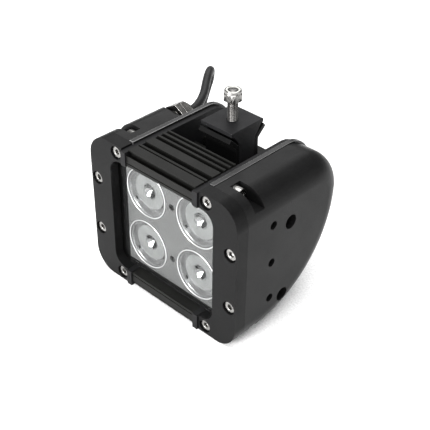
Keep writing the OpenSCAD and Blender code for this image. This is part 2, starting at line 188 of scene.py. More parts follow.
def shader(name, colour, roughness, metallic=0.0, **sockets):
    """A material with one Principled node. Returns the material, its nodes and its links."""
    material = bpy.data.materials.new(name)
    material.use_nodes = True
    tree = material.node_tree
    main = tree.nodes["Principled BSDF"]
    main.inputs["Base Color"].default_value = (*colour, 1)
    main.inputs["Roughness"].default_value = roughness
    main.inputs["Metallic"].default_value = metallic
    for socket, value in sockets.items():
        main.inputs[socket].default_value = value
    MADE[name] = material
    return material, tree, main


def noise(tree, scale, detail=3.0, stretch=(1, 1, 1)):
    """Noise on Object coordinates, stretched along the axes."""
    place = tree.nodes.new("ShaderNodeTexCoord")
    turn = tree.nodes.new("ShaderNodeMapping")
    turn.inputs["Scale"].default_value = stretch
    grain = tree.nodes.new("ShaderNodeTexNoise")
    grain.inputs["Scale"].default_value = scale
    grain.inputs["Detail"].default_value = detail
    tree.links.new(place.outputs["Object"], turn.inputs["Vector"])
    tree.links.new(turn.outputs["Vector"], grain.inputs["Vector"])
    return grain.outputs["Fac"]


def spread(tree, value, low, high):
    """Maps the middle of a noise to the range low to high."""
    ramp = tree.nodes.new("ShaderNodeMapRange")
    ramp.inputs["From Min"].default_value = 0.3
    ramp.inputs["From Max"].default_value = 0.7
    ramp.inputs["To Min"].default_value = low
    ramp.inputs["To Max"].default_value = high
    tree.links.new(value, ramp.inputs["Value"])
    return ramp.outputs["Result"]


def tint(tree, main, value, dark, light):
    """Drives the base colour between two tones of the same colour."""
    mix = tree.nodes.new("ShaderNodeMix")
    mix.data_type = "RGBA"
    colour = main.inputs["Base Color"].default_value[:3]
    mix.inputs["A"].default_value = (*[c * dark for c in colour], 1)
    mix.inputs["B"].default_value = (*[min(1, c * light) for c in colour], 1)
    tree.links.new(value, mix.inputs["Factor"])
    tree.links.new(mix.outputs["Result"], main.inputs["Base Color"])


def bump(tree, main, value, height):
    """Raises the surface's shading by a noise."""
    node = tree.nodes.new("ShaderNodeBump")
    node.inputs["Strength"].default_value = 1.0
    node.inputs["Distance"].default_value = height
    tree.links.new(value, node.inputs["Height"])
    tree.links.new(node.outputs["Normal"], main.inputs["Normal"])


def coated(
    name, colour, roughness, grain=2600, height=0.02 * MM, stretch=(1, 1, 1), shine=0.5,
):
    """A painted, moulded or rubber surface: fine grain, patchy gloss and tone."""
    material, tree, main = shader(name, colour, roughness, **{"Specular IOR Level": shine})
    bump(tree, main, noise(tree, grain, 2, stretch), height)
    patches = noise(tree, 60, 4)
    gloss = spread(tree, patches, roughness - 0.06, roughness + 0.07)
    tree.links.new(gloss, main.inputs["Roughness"])
    tint(tree, main, spread(tree, noise(tree, 900, 3), 0, 1), 0.82, 1.22)
    return material


def metal(name, colour, roughness, stretch=(1, 1, 1), grain=1400, height=0.0015 * MM):
    """Bare or plated metal with fine working marks."""
    material, tree, main = shader(name, colour, roughness, metallic=1.0)
    marks = noise(tree, grain, 4, stretch)
    bump(tree, main, marks, height)
    gloss = spread(tree, noise(tree, 250, 3, stretch), roughness - 0.03, roughness + 0.05)
    tree.links.new(gloss, main.inputs["Roughness"])
    tint(tree, main, spread(tree, noise(tree, 300, 3), 0, 1), 0.9, 1.06)
    return material


def clear(name, colour, facing, glancing):
    """Clear sheet: see-through straight on, and a mirror at a low angle."""
    material, tree, main = shader(name, colour, 0.03)
    out = tree.nodes["Material Output"]
    mix = tree.nodes.new("ShaderNodeMixShader")
    see = tree.nodes.new("ShaderNodeBsdfTransparent")
    see.inputs["Color"].default_value = (0.985, 0.99, 0.99, 1)
    edge = tree.nodes.new("ShaderNodeFresnel")
    edge.inputs["IOR"].default_value = 1.5
    share = tree.nodes.new("ShaderNodeMapRange")
    share.inputs["To Min"].default_value = facing
    share.inputs["To Max"].default_value = glancing
    tree.links.new(edge.outputs["Fac"], share.inputs["Value"])
    tree.links.new(share.outputs["Result"], mix.inputs["Fac"])
    tree.links.new(see.outputs["BSDF"], mix.inputs[1])
    tree.links.new(main.outputs["BSDF"], mix.inputs[2])
    tree.links.new(mix.outputs["Shader"], out.inputs["Surface"])
    return material


def mirror(name, colour):
    """Vacuum-coated plastic: bright, a little milky, with a faint moulding flow."""
    material, tree, main = shader(name, colour, 0.22, metallic=0.55)
    gloss = spread(tree, noise(tree, 180, 3), 0.18, 0.27)
    tree.links.new(gloss, main.inputs["Roughness"])
    tint(tree, main, spread(tree, noise(tree, 220, 3), 0, 1), 0.9, 1.08)
    return material


def optic(name, colour):
    """Moulded clear plastic over a bright cup: milky grey inside, glossy on its face."""
    material, tree, main = shader(
        name, colour, 0.2, **{"Coat Weight": 1.0, "Coat Roughness": 0.04}
    )
    tint(tree, main, spread(tree, noise(tree, 160, 3), 0, 1), 0.84, 1.08)
    bump(tree, main, noise(tree, 240, 1), 0.01 * MM)
    return material


def make_materials(colours):
    coat, extrusion, rubber = colours.coat, colours.extrusion, colours.rubber
    coated("cast_black", coat, 0.33, shine=0.11)
    coated("bezel_black", [c * 0.95 for c in coat], 0.34, shine=0.07)
    coated("rim_coat", [c * 1.3 for c in coat], 0.30, shine=0.35)
    coated("extruded_black", extrusion, 0.36, 1500, 0.012 * MM, (0.04, 1, 1), shine=0.09)
    coated("saddle_coat", [c * 0.9 for c in coat], 0.32, shine=0.14)
    coated("seal_silicone", rubber, 0.55, 1800, 0.02 * MM, shine=0.15)
    coated("foot_rubber", [c * 1.5 for c in rubber], 0.5, 1500, 0.03 * MM, shine=0.14)
    coated("lead_sheath", [c * 1.2 for c in rubber], 0.42, 1200, 0.02 * MM, shine=0.25)
    coated("plug_nylon", [c * 1.3 for c in rubber], 0.45, 1800, 0.02 * MM, shine=0.3)
    coated("screw_oxide", (0.012, 0.012, 0.012), 0.4, shine=0.3)
    coated("tray_satin", colours.tray, 0.38, 2200, 0.004 * MM)
    coated("board_mask", (0.62, 0.64, 0.62), 0.4)
    coated("board_green", (0.02, 0.16, 0.06), 0.35)
    coated("driver_dark", (0.03, 0.03, 0.035), 0.4)
    coated("nylon_ring", (0.55, 0.55, 0.52), 0.45)
    coated("wire_seal_red", (0.40, 0.05, 0.03), 0.5)
    # Painted highlight: a light grey for the rim plates' rounded edges, standing in for the thin
    # bright line the lamps draw there
    coated("painted_edge_highlight", (0.20, 0.20, 0.20), 0.32, 1600, 0.004 * MM)
    metal("stainless", (0.30, 0.295, 0.285), 0.26)
    metal("thread_steel", (0.20, 0.195, 0.19), 0.30)
    metal("nickel", (0.24, 0.235, 0.225), 0.22)
    metal("pin_brass", (0.75, 0.58, 0.28), 0.25)
    mirror("mirror_coat", (0.97, 0.97, 0.97))
    optic("optic_clear", (0.90, 0.91, 0.90))
    metal("star_glint", (0.95, 0.95, 0.94), 0.12, height=0.0005 * MM)
    clear("lens_clear", (0.02, 0.02, 0.02), 0.02, 0.7)
    clear("led_dome", (0.30, 0.27, 0.10), 0.3, 0.8)
    coated("led_phosphor", (0.80, 0.66, 0.16), 0.45)


# --- Shared mesh helpers ----------------------------------------------------------------


def add_piece(name, mesh, materials, body, slot=None, stands_for=()):
    """Links a mesh as a finished piece that rides on a body."""
    for m in materials:
        if m not in [s and s.name for s in mesh.materials]:
            mesh.materials.append(MADE[m])
    piece = bpy.data.objects.new(name, mesh)
    bpy.context.scene.collection.objects.link(piece)
    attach(piece, body)
    if stands_for:
        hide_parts(*stands_for)
    return piece


def applied(draft, name):
    """The evaluated mesh of a draft object, which is then removed."""
    depsgraph = bpy.context.evaluated_depsgraph_get()
    mesh = bpy.data.meshes.new_from_object(
        draft.evaluated_get(depsgraph), preserve_all_data_layers=True, depsgraph=depsgraph
    )
    mesh.name = name
    old = draft.data
    bpy.data.objects.remove(draft)
    if old.users == 0:
        bpy.data.meshes.remove(old)
    return mesh


def draft_object(mesh):
    """A linked object for modifiers to work on, removed once they are applied."""
    draft = bpy.data.objects.new("draft", mesh)
    bpy.context.scene.collection.objects.link(draft)
    return draft


def clean_copy(node):
    """A frame node's mesh with its loose triangles merged into plain faces."""
    mesh = NODES[node].data.copy()
    mesh.materials.clear()
    shape = bmesh.new()
    shape.from_mesh(mesh)
    tidy(shape)
    shape.to_mesh(mesh)
    shape.free()
    return mesh


def tidy(shape):
    """Merges a bmesh's doubles and the loose triangles of its flat faces."""
    bmesh.ops.remove_doubles(shape, verts=shape.verts, dist=0.002 * MM)
    bmesh.ops.dissolve_degenerate(shape, edges=shape.edges, dist=0.005 * MM)
    bmesh.ops.dissolve_limit(
        shape, angle_limit=math.radians(0.5), verts=shape.verts, edges=shape.edges
    )


def softened(mesh, name, width, segments=2, finishes=(), fine=()):
    """Rounds a mesh's edges. Edges near an axis in fine, (point, axis, radius), stay crisp.

    finishes names the material of the faces and that of the rounded edges, where they differ.
    """
    if isinstance(mesh, str):
        mesh = clean_copy(mesh)
    shape = bmesh.new()
    shape.from_mesh(mesh)
    weight = shape.edges.layers.float.new("bevel_weight_edge")
    for edge in shape.edges:
        if len(edge.link_faces) != 2 or edge.calc_face_angle() < SHARP_EDGE:
            continue
        at = (edge.verts[0].co + edge.verts[1].co) / 2
        near = any(
            ((at - point) - (at - point).dot(axis) * axis).length < radius
            for point, axis, radius in fine
        )
        edge[weight] = FINE_SHARE if near else 1.0
    shape.to_mesh(mesh)
    shape.free()
    mesh.shade_smooth()
    draft = draft_object(mesh)
    rounding = draft.modifiers.new("rounding", "BEVEL")
    rounding.width = width
    rounding.segments = segments
    rounding.limit_method = "WEIGHT"
    rounding.miter_outer = "MITER_ARC"
    for finish in finishes:
        mesh.materials.append(MADE[finish])
    if finishes:
        rounding.material = 1
    normals = draft.modifiers.new("normals", "WEIGHTED_NORMAL")
    normals.weight = 90
    normals.keep_sharp = True
    return applied(draft, name)


def islands(shape):
    """The vertices of each separate part of a bmesh."""
    left = set(shape.verts)
    while left:
        part, stack = set(), [left.pop()]
        while stack:
            vert = stack.pop()
            part.add(vert)
            for edge in vert.link_edges:
                other = edge.other_vert(vert)
                if other in left:
                    left.discard(other)
                    stack.append(other)
        yield part


def with_bosses(cover, bosses):
    """A cover's mesh with its bosses joined on, which closes the hairline round each of them."""
    mesh = clean_copy(bosses)
    shape = bmesh.new()
    shape.from_mesh(mesh)
    for part in islands(shape):
        ys = [v.co.y for v in part]
        zs = [v.co.z for v in part]
        cy, cz = (min(ys) + max(ys)) / 2, (min(zs) + max(zs)) / 2
        outer = (max(ys) - min(ys)) / 2
        for vert in part:
            off = Vector((0, vert.co.y - cy, vert.co.z - cz))
            if off.length > 0.95 * outer:
                vert.co += off.normalized() * BOSS_LAP
    shape.to_mesh(mesh)
    shape.free()
    other = draft_object(mesh)
    draft = draft_object(clean_copy(cover))
    join = draft.modifiers.new("join", "BOOLEAN")
    join.operation = "UNION"
    join.solver = "EXACT"
    join.object = other
    done = applied(draft, cover + "_joined")
    bpy.data.objects.remove(other)
    shape = bmesh.new()
    shape.from_mesh(done)
    tidy(shape)
    shape.to_mesh(done)
    shape.free()
    return done


def ring_radius(angle, circle, corner, sides=6):
    """Radius at an angle of a circle cut by a regular polygon of that corner radius."""
    if corner is None:
        return circle
    part = 2 * math.pi / sides
    flat = corner * math.cos(part / 2)
    off = (angle % part) - part / 2
    return min(circle, flat / math.cos(off))


def skinned(name, rings, wrap=False, sharp=38):
    """A mesh through rings of points, with end faces, or wrapped from the last to the first."""
    shape = bmesh.new()
    loops = [[shape.verts.new(point) for point in ring] for ring in rings]
    pairs = list(zip(loops, loops[1:]))
    if wrap:
        pairs.append((loops[-1], loops[0]))
    for a, b in pairs:
        for i in range(len(a)):
            j = (i + 1) % len(a)
            shape.faces.new((a[i], a[j], b[j], b[i]))
    if not wrap:
        shape.faces.new(list(reversed(loops[0])))
        shape.faces.new(loops[-1])
    bmesh.ops.recalc_face_normals(shape, faces=shape.faces)
    mesh = bpy.data.meshes.new(name)
    shape.to_mesh(mesh)
    shape.free()
    mesh.shade_smooth()
    mesh.set_sharp_from_angle(angle=math.radians(sharp))
    return mesh


def angles(count):
    return [2 * math.pi * i / count for i in range(count)]


def polar(radius, angle, height):
    return (radius * math.cos(angle), radius * math.sin(angle), height)


def turned(name, rings, segments=48, wrap=False, sharp=38):
    """A surface through rings (circle radius, height, polygon's corner radius or None)."""
    points = [
        [polar(ring_radius(a, circle, corner), a, height) for a in angles(segments)]
        for circle, height, corner in rings
    ]
    return skinned(name, points, wrap, sharp)


def place_mesh(mesh, at, axis=(0, 0, 1), spin=0.0):
    """Moves a mesh made about Z so that its Z runs along axis from the point at."""
    turn = Vector(axis).to_track_quat("Z", "Y").to_matrix().to_4x4()
    mesh.transform(Matrix.Translation(at) @ turn @ Matrix.Rotation(spin, 4, "Z"))
    return mesh


def repeat_tree(name):
    """A node tree that puts one shape on every point, turned by the point's own rotation."""
    tree = bpy.data.node_groups.new(name, "GeometryNodeTree")
    face = tree.interface
    face.new_socket("Geometry", in_out="INPUT", socket_type="NodeSocketGeometry")
    face.new_socket("Shape", in_out="INPUT", socket_type="NodeSocketObject")
    scale = face.new_socket("Size", in_out="INPUT", socket_type="NodeSocketFloat")
    scale.default_value = 1.0
    face.new_socket("Finish", in_out="INPUT", socket_type="NodeSocketMaterial")
    face.new_socket("Geometry", in_out="OUTPUT", socket_type="NodeSocketGeometry")
    source = tree.nodes.new("NodeGroupInput")
    result = tree.nodes.new("NodeGroupOutput")
    shape = tree.nodes.new("GeometryNodeObjectInfo")
    turn = tree.nodes.new("GeometryNodeInputNamedAttribute")
    turn.data_type = "QUATERNION"
    turn.inputs["Name"].default_value = "turn"
    put = tree.nodes.new("GeometryNodeInstanceOnPoints")
    real = tree.nodes.new("GeometryNodeRealizeInstances")
    finish = tree.nodes.new("GeometryNodeSetMaterial")
    link = tree.links.new
    link(source.outputs["Geometry"], put.inputs["Points"])
    link(source.outputs["Shape"], shape.inputs["Object"])
    link(shape.outputs["Geometry"], put.inputs["Instance"])
    link(turn.outputs["Attribute"], put.inputs["Rotation"])
    link(source.outputs["Size"], put.inputs["Scale"])
    link(put.outputs["Instances"], real.inputs["Geometry"])
    link(real.outputs["Geometry"], finish.inputs["Geometry"])
    link(source.outputs["Finish"], finish.inputs["Material"])
    link(finish.outputs["Geometry"], result.inputs["Geometry"])
    return tree


def repeated(name, mesh, spots, material):
    """One mesh at many spots, each (point, axis, spin), as a single plain mesh."""
    points = bpy.data.meshes.new(name + "_spots")
    points.from_pydata([s[0] for s in spots], [], [])
    turns = points.attributes.new("turn", "QUATERNION", "POINT")
    for i, (_, axis, spin) in enumerate(spots):
        quat = Vector(axis).to_track_quat("Z", "Y").to_matrix() @ Matrix.Rotation(spin, 3, "Z")
        turns.data[i].value = quat.to_quaternion()
    shape = draft_object(mesh)
    draft = draft_object(points)
    tree = repeat_tree(name + "_nodes")
    modifier = draft.modifiers.new("repeat", "NODES")
    modifier.node_group = tree
    for item in tree.interface.items_tree:
        if item.in_out == "INPUT" and item.name == "Shape":
            modifier[item.identifier] = shape
        if item.in_out == "INPUT" and item.name == "Finish":
            modifier[item.identifier] = MADE[material]
    done = applied(draft, name)
    bpy.data.objects.remove(shape)
    return done


# --- Lead -------------------------------------------------------------------------------


def smooth_line(points, steps=6):
    """A Catmull-Rom line through the points."""
    pts = [points[0] * 2 - points[1], *points, points[-1] * 2 - points[-2]]
    line = []
    for i in range(1, len(pts) - 2):
        a, b, c, d = pts[i - 1 : i + 3]
        for k in range(steps):
            t = k / steps
            line.append(
                0.5 * (2 * b + (c - a) * t + (2 * a - 5 * b + 4 * c - d) * t**2
                       + (3 * b - a - 3 * c + d) * t**3)
            )
    line.append(pts[-2])
    return line


def lead_line(sizes):
    """Centreline: the free stretch, the turns of the coil and the short tail to the plug."""
    r = sizes.lead_diameter / 2
    coil_low, coil_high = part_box("cable_coil")
    centre = middle("cable_coil")
    coil_r = (coil_high[0] - coil_low[0]) / 2 - r
    start = math.radians(240)
    line = smooth_line([drawn(*p) for p in LEAD_ROUTE])
    per_turn = 48
    climb = per_turn // 6
    for i in range(1, sizes.lead_turns * per_turn + 1):
        angle = start + 2 * math.pi * i / per_turn
        done, within = divmod(i, per_turn)
        rise = max(0, (within - (per_turn - climb)) / climb)
        rise = rise * rise * (3 - 2 * rise)
        layer = min(done + rise, sizes.lead_turns - 1)
        line.append(Vector((
            centre.x + coil_r * math.cos(angle), centre.y + coil_r * math.sin(angle),
            coil_low[2] + r + 2 * r * layer,
        )))
    tail_r = 15 * MM
    tail_x = centre.x + (coil_r - tail_r) * math.cos(start)
    tail_y = centre.y + (coil_r - tail_r) * math.sin(start)
    plug_z = middle("plug_seal").z
    top = line[-1].z
    steps = 20
    for i in range(1, steps + 1):
        angle = start + math.radians(140) * i / steps
        line.append(Vector((
            tail_x + tail_r * math.cos(angle), tail_y + tail_r * math.sin(angle),
            top + (plug_z - top) * i / steps,
        )))
    return line


class FOGLIGHT_OT_lead(bpy.types.Operator):
    """Makes the supply lead with its coil, tie and plug"""

    bl_idname = "foglight.lead"
    bl_label = "Supply lead"

    def execute(self, context):
        sizes = context.scene.fog_sizes
        line = lead_line(sizes)
        curve = bpy.data.curves.new("supply_lead", "CURVE")
        curve.dimensions = "3D"
        curve.bevel_depth = sizes.lead_diameter / 2
        curve.bevel_resolution = 5
        curve.use_fill_caps = True
        spline = curve.splines.new("POLY")
        spline.points.add(len(line) - 1)
        for point, at in zip(spline.points, line):
            point.co = (*at, 1)
            point.radius = 1
        spline.use_smooth = True
        curve.materials.append(MADE["lead_sheath"])
        lead = bpy.data.objects.new("supply_lead", curve)
        context.scene.collection.objects.link(lead)
        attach(lead, "light")
        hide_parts("cable", "cable_coil", "cable_tail")
        tie = add_piece(
            "coil_tie", softened("cable_tie", "coil_tie", 0.2 * MM), ["plug_nylon"],
            "light", "tie_black", ["cable_tie"],
        )
        plug = add_piece(
            "lead_plug", softened("plug_body", "lead_plug", 0.5 * MM, 3), ["plug_nylon"],
            "light", "plug_black", ["plug_body"],
        )
        length = sum((b - a).length for a, b in zip(line, line[1:]))
        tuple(line[0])
        return {"FINISHED"}


# --- Castings and body ------------------------------------------------------------------

# node, piece, rounding as a share of the cast edge, segments, material, slot
CASTINGS = [
    ("bezel_left", "left_bezel", 1.6, 4, "bezel_black", "bezel_black"),
    ("bezel_right", "right_bezel", 1.6, 4, "bezel_black", "bezel_black"),
    ("saddle", "foot_saddle", 0.5, 3, "saddle_coat", "saddle_black"),
    ("foot", "foot_block", 0.9, 3, "foot_rubber", "foot_black"),
]
# Bezel screws in one quarter of the front, (x, z) in mm; the others mirror them
BEZEL_SCREWS = [(33.7, 41.0), (50.8, 17.35)]
# Edges within this radius of a screw's axis belong to its counterbore
HEAD_ROOM = 4.6 * MM


def screw_axes():
    """The axes of the bezel screws, whose counterbores keep crisp edges."""
    return [
        (drawn(sx * x * MM, 0, sz * z * MM), Vector((0, 1, 0)), HEAD_ROOM)
        for x, z in BEZEL_SCREWS for sx in (-1, 1) for sz in (-1, 1)
    ]


def side_hole_axes(bosses):
    """The axes of the side holes, one for each boss."""
    shape = bmesh.new()
    shape.from_mesh(clean_copy(bosses))
    axes = []
    for part in islands(shape):
        ys = [v.co.y for v in part]
        zs = [v.co.z for v in part]
        at = Vector((0, (min(ys) + max(ys)) / 2, (min(zs) + max(zs)) / 2))
        axes.append((at, Vector((1, 0, 0)), (max(ys) - min(ys)) / 2))
    shape.free()
    return axes


class FOGLIGHT_OT_castings(bpy.types.Operator):
    """Makes the end covers, bezels, saddle and foot with rounded edges"""

    bl_idname = "foglight.castings"
    bl_label = "Covers, bezels and foot"

    def execute(self, context):
        edge = context.scene.fog_sizes.cast_edge
        for side in ("left", "right"):
            cover, bosses = f"cover_{side}", f"side_bosses_{side}"
            mesh = softened(
                with_bosses(cover, bosses), f"{side}_end_cover", edge * 0.8, 3,
                fine=side_hole_axes(bosses),
            )
            add_piece(
                f"{side}_end_cover", mesh, ["cast_black"], "light", "cover_black",
                [cover, bosses],
            )
        for node, name, share, segments, material, slot in CASTINGS:
            body = "bracket" if node in ("saddle", "foot") else "light"
            mesh = softened(node, name, edge * share, segments, fine=screw_axes())
            add_piece(name, mesh, [material], body, slot, [node])
        return {"FINISHED"}


class FOGLIGHT_OT_body(bpy.types.Operator):
    """Makes the finned body, its seals and its rim plates, with a painted highlight on the
    plates' rounded edges
    """

    bl_idname = "foglight.body"
    bl_label = "Body, seals and rims"

    def execute(self, context):
        edge = context.scene.fog_sizes.edge
        add_piece(
            "finned_body", softened("housing", "finned_body", edge), ["extruded_black"],
            "light", "body_black", ["housing"],
        )
        for side in ("left", "right"):
            name = f"{side}_end_seal"
            mesh = softened(f"seal_{side}", name, edge)
            add_piece(name, mesh, ["seal_silicone"], "light", "seal_rubber", [f"seal_{side}"])
            name = f"{side}_rim"
            # The rounded edges get the painted edge highlight, the faces the rim coat
            mesh = softened(f"rim_{side}", name, edge * 1.6, 3, ("rim_coat", "painted_edge_highlight"))
            add_piece(name, mesh, [], "light", "rim_black", [f"rim_{side}"])
        return {"FINISHED"}


# --- Optics -----------------------------------------------------------------------------

# Reflector section: radius and depth behind the rim, in mm
CUP_SECTION = [
    (15.5, 2.4), (15.5, 0.1), (15.35, -0.35), (15.05, -0.5), (14.75, -0.35), (14.6, 0.1),
    (14.6, 1.5), (14.2, 1.5), (14.2, 0.3), (14.0, 0.1), (13.4, 0.2), (12.9, 0.6), (12.2, 1.6),
    (11.7, 2.6), (10.2, 4.6), (8.9, 6.2), (7.4, 8.3), (6.0, 10.5), (4.6, 12.6), (4.6, 14.0),
    (5.0, 14.0), (5.8, 14.0), (8.4, 9.6), (11.4, 5.4), (14.2, 2.8),
]
# Collimator section: radius and depth, in mm, from the front's middle round to the back's
OPTIC_SECTION = [
    (0.02, 5.9), (2.0, 5.8), (4.0, 4.4), (4.7, 2.75), (4.9, 2.5), (5.4, 2.4),
    (8.0, 2.3), (10.4, 2.2), (10.9, 2.25), (11.1, 2.5), (9.9, 4.1), (7.1, 8.0), (4.5, 11.9),
    (3.0, 12.2), (2.2, 11.4), (0.02, 11.4),
]
# The bright faceted dimple: radius and depth of its outer points, notches and floor, in mm
STAR_POINT, STAR_NOTCH, STAR_FLOOR = (4.75, 2.5), (4.0, 3.3), (1.3, 5.2)
DIMPLE = 4.8 * MM
CLIP_ANGLES = (100, 220, 340)


def lathed(name, section, segments, facets=0, depth=0.0, within=0.0, closed=True):
    """A surface turned about Z from (radius, depth) in mm, with shallow facets near its axis."""
    rings = []
    for r, z in section:
        radius = r * MM
        ring = []
        for angle in angles(segments):
            sink = 0.0
            if facets and radius < within:
                off = (angle * facets) % (2 * math.pi) / (2 * math.pi) - 0.5
                sink = depth * (1 - 4 * off * off) * math.sin(math.pi * radius / within)
            ring.append(polar(radius, angle, -z * MM - sink))
        rings.append(ring)
    return skinned(name, rings, wrap=closed, sharp=30)


def star_mesh(petals):
    """The faceted dimple in an optic's face: flat facets that catch the light in turn."""
    shape = bmesh.new()
    outer, inner = [], []
    for i in range(2 * petals):
        angle = math.pi * i / petals
        along = Vector((math.cos(angle), math.sin(angle), 0)) * MM
        r, depth = STAR_NOTCH if i % 2 else STAR_POINT
        outer.append(shape.verts.new(along * r - Vector((0, 0, depth * MM))))
        r, depth = STAR_FLOOR
        inner.append(shape.verts.new(along * r - Vector((0, 0, depth * MM))))
    under = [shape.verts.new(v.co - Vector((0, 0, 0.3 * MM))) for v in outer]
    sole = [shape.verts.new(v.co - Vector((0, 0, 0.3 * MM))) for v in inner]
    for i in range(2 * petals):
        j = (i + 1) % (2 * petals)
        for quad in (
            (outer[i], outer[j], inner[j], inner[i]), (under[i], sole[i], sole[j], under[j]),
            (outer[i], under[i], under[j], outer[j]),
        ):
            bmesh.ops.triangulate(shape, faces=[shape.faces.new(quad)])
    shape.faces.new(inner)
    shape.faces.new(list(reversed(sole)))
    bmesh.ops.recalc_face_normals(shape, faces=shape.faces)
    mesh = bpy.data.meshes.new("star")
    shape.to_mesh(mesh)
    shape.free()
    return mesh


def clip_mesh():
    """A small snap foot that holds a collimator in its cup."""
    shape = bmesh.new()
    bmesh.ops.create_cube(shape, size=1)
    bmesh.ops.scale(shape, vec=(0.9 * MM, 2.2 * MM, 1.2 * MM), verts=shape.verts)
    bmesh.ops.bevel(
        shape, geom=list(shape.edges), offset=0.25 * MM, segments=2, affect="EDGES"
    )
    bmesh.ops.translate(shape, vec=(12.4 * MM, 0, -1.6 * MM), verts=shape.verts)
    mesh = bpy.data.meshes.new("clip")
    shape.to_mesh(mesh)
    shape.free()
    mesh.shade_smooth()
    return mesh


def led_mesh():
    """A dome on a short ring, over the diode's package."""
    rings = [(0.02 * MM, 0, None), (1.9 * MM, 0, None)]
    for i in range(1, 9):
        angle = math.radians(90 * i / 9)
        rings.append((1.9 * MM * math.cos(angle), 1.9 * MM * math.sin(angle), None))
    rings.append((0.02 * MM, 1.9 * MM, None))
    return turned("led_dome", rings, 32)


def cup_spots():
    """Where the four reflectors' axes meet the rim plane."""
    low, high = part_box("reflectors")
    radius = CUP_SECTION[0][0] * MM
    xs = (low[0] + radius, high[0] - radius)
    zs = (low[2] + radius, high[2] - radius)
    return [Vector((x, low[1], z)) for x in xs for z in zs]


class FOGLIGHT_OT_optics(bpy.types.Operator):
    """Makes the lens, tray, reflectors, collimators and diodes"""

    bl_idname = "foglight.optics"
    bl_label = "Lens and reflectors"

    def execute(self, context):
        sizes = context.scene.fog_sizes
        spots = cup_spots()
        forward = (0, -1, 0)
        cups = repeated(
            "reflector_cups", lathed("cup", CUP_SECTION, 96),
            [(p, forward, 0) for p in spots], "mirror_coat",
        )
        add_piece("reflector_cups", cups, [], "light", "reflector_bright", ["reflectors"])
        optic = lathed(
            "optic", OPTIC_SECTION, 96, sizes.petals, sizes.petal_depth, DIMPLE, closed=False
        )
        stars = repeated(
            "optic_dimples", star_mesh(sizes.petals), [(p, forward, 0.3) for p in spots],
            "star_glint",
        )
        add_piece("optic_dimples", stars, [], "light", "optic_clear")
        optics = repeated(
            "collimator_optics", optic, [(p, forward, 0) for p in spots], "optic_clear"
        )
        add_piece("collimator_optics", optics, [], "light", "optic_clear", ["collimators"])
        turns = [math.radians(a) for a in CLIP_ANGLES]
        clips = repeated(
            "optic_clips", clip_mesh(), [(p, forward, a) for p in spots for a in turns],
            "screw_oxide",
        )
        add_piece("optic_clips", clips, [], "light", "screw_black")
        led_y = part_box("leds")[0][1] + 1.9 * MM
        domes = repeated(
            "led_domes", led_mesh(),
            [(Vector((p.x, led_y, p.z)), forward, 0) for p in spots], "led_dome",
        )
        add_piece("led_domes", domes, [], "light", "led_yellow")
        package = bpy.data.meshes.new("led_package")
        shape = bmesh.new()
        bmesh.ops.create_cube(shape, size=1)
        bmesh.ops.scale(shape, vec=(5 * MM, 5 * MM, 1 * MM), verts=shape.verts)
        bmesh.ops.bevel(
            shape, geom=list(shape.edges), offset=0.25 * MM, segments=2, affect="EDGES"
        )
        shape.to_mesh(package)
        shape.free()
        packages = repeated(
            "led_packages", package,
            [(Vector((p.x, led_y + 0.45 * MM, p.z)), forward, 0) for p in spots],
            "led_phosphor",
        )
        add_piece("led_packages", packages, [], "light", "led_yellow", ["leds"])
        add_piece(
            "front_lens", softened("lens", "front_lens", 0.4 * MM, 3), ["lens_clear"],
            "light", "lens_clear", ["lens"],
        )
        add_piece(
            "silver_tray", softened("reflector_tray", "silver_tray", 0.15 * MM),
            ["tray_satin"], "light", "tray_silver", ["reflector_tray"],
        )
        return {"FINISHED"}


# --- Fasteners --------------------------------------------------------------------------


def cap_screw_mesh(head_r, head_h, socket_r, depth):
    """A socket cap screw's head from its underside up, with a hexagon socket."""
    lip = 0.35 * MM
    rings = [
        (0.05 * MM, 0, None), (head_r - 0.1 * MM, 0, None), (head_r, 0.1 * MM, None),
        (head_r, head_h - lip, None), (head_r - 0.12 * MM, head_h - 0.12 * MM, None),
        (head_r - lip, head_h, None), (socket_r + 0.35 * MM, head_h, None),
        (socket_r + 0.12 * MM, head_h - 0.06 * MM, None),
        (socket_r * 2, head_h - 0.25 * MM, socket_r),
        (socket_r * 2, head_h - depth, socket_r),
        (0.3 * MM, head_h - depth - 0.5 * MM, None),
    ]
    return turned("cap_screw", rings, 48)


def screw_shank_mesh(radius, length):
    """A plain shank below a head, sunk into it a little."""
    return turned("shank", [(radius, -length, None), (radius, 0.02 * MM, None)], 20)


def joined(name, *meshes):
    """Several meshes as one."""
    shape = bmesh.new()
    for mesh in meshes:
        shape.from_mesh(mesh)
    done = bpy.data.meshes.new(name)
    shape.to_mesh(done)
    shape.free()
    return done


def thread_mesh(name, radius, depth, pitch, low, high, round_steps=36, rows=8):
    """A round bar between two heights with a single-start thread cut into it."""
    count = int((high - low) / pitch * rows)
    lead_in = 0.8 * MM
    rings = []
    for k in range(count + 1):
        z = low + (high - low) * k / count
        chamfer = max(0.0, z - (high - lead_in)) * 0.9
        ring = []
        for angle in angles(round_steps):
            phase = ((z - low) / pitch - angle / (2 * math.pi)) % 1.0
            crest = min(1.0, max(0.0, 2.6 * abs(phase - 0.5) - 0.12))
            ring.append(polar(min(radius - depth * (1 - crest), radius - chamfer), angle, z))
        rings.append(ring)
    return skinned(name, rings, sharp=50)


def lock_nut_mesh(height, bore):
    """A hexagon lock nut: chamfered faces, a waisted crown rolled over its ring."""
    corner = HEX_CORNER
    rings = [
        (bore, 0.5 * MM, None), (bore + 0.35 * MM, 0, None), (4.7 * MM, 0, None),
        (5.15 * MM, 0.05 * MM, corner), (5.8 * MM, 0.55 * MM, corner),
        (5.8 * MM, 3.6 * MM, corner), (5.3 * MM, 4.15 * MM, corner),
        (4.85 * MM, 4.4 * MM, None), (4.8 * MM, height - 0.7 * MM, None),
        (4.65 * MM, height - 0.2 * MM, None), (4.3 * MM, height, None),
        (3.95 * MM, height - 0.1 * MM, None), (3.9 * MM, height - 0.3 * MM, None),
        (bore, height - 0.3 * MM, None),
    ]
    return turned("lock_nut", rings, 60, wrap=True, sharp=32)


